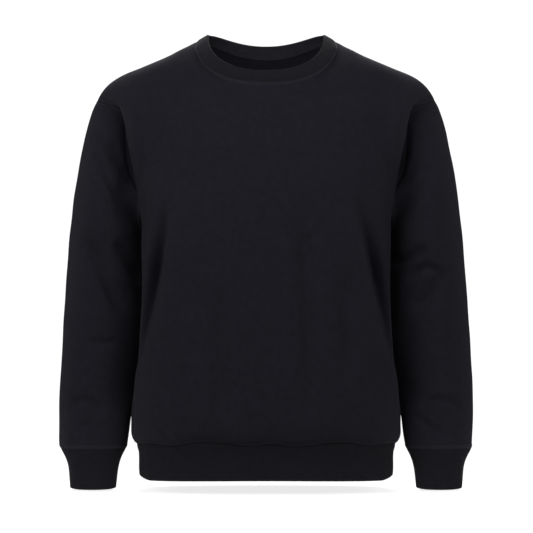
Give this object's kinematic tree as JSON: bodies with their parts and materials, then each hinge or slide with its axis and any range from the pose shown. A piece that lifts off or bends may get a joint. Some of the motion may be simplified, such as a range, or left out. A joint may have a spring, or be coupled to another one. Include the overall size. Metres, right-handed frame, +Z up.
{
  "type": "crew-neck sweatshirt",
  "caption": "Crew-neck sweatshirt in plain black fleece with set-in sleeves, side panels and ribbed neck, cuffs and hem, filled out as if worn.",
  "frame": {"origin": "middle of the body between the shoulders, where the wearer's shoulders carry the garment", "axes": "+Z up, -Y to the front, +X to the wearer's left"},
  "size_m": [0.6754, 0.2397, 0.7405],
  "materials": {
    "fleece": "brushed black fleece, matt",
    "rib": "black ribbed knit, matt"
  },
  "bodies": {
    "root": {"front": "fleece", "back": "fleece", "side_panel_left": "fleece", "side_panel_right": "fleece", "sleeve_left": "fleece", "sleeve_right": "fleece", "cuff_left": "rib", "cuff_right": "rib", "hem_band": "rib", "neck_band": "rib"}
  },
  "joints": []
}
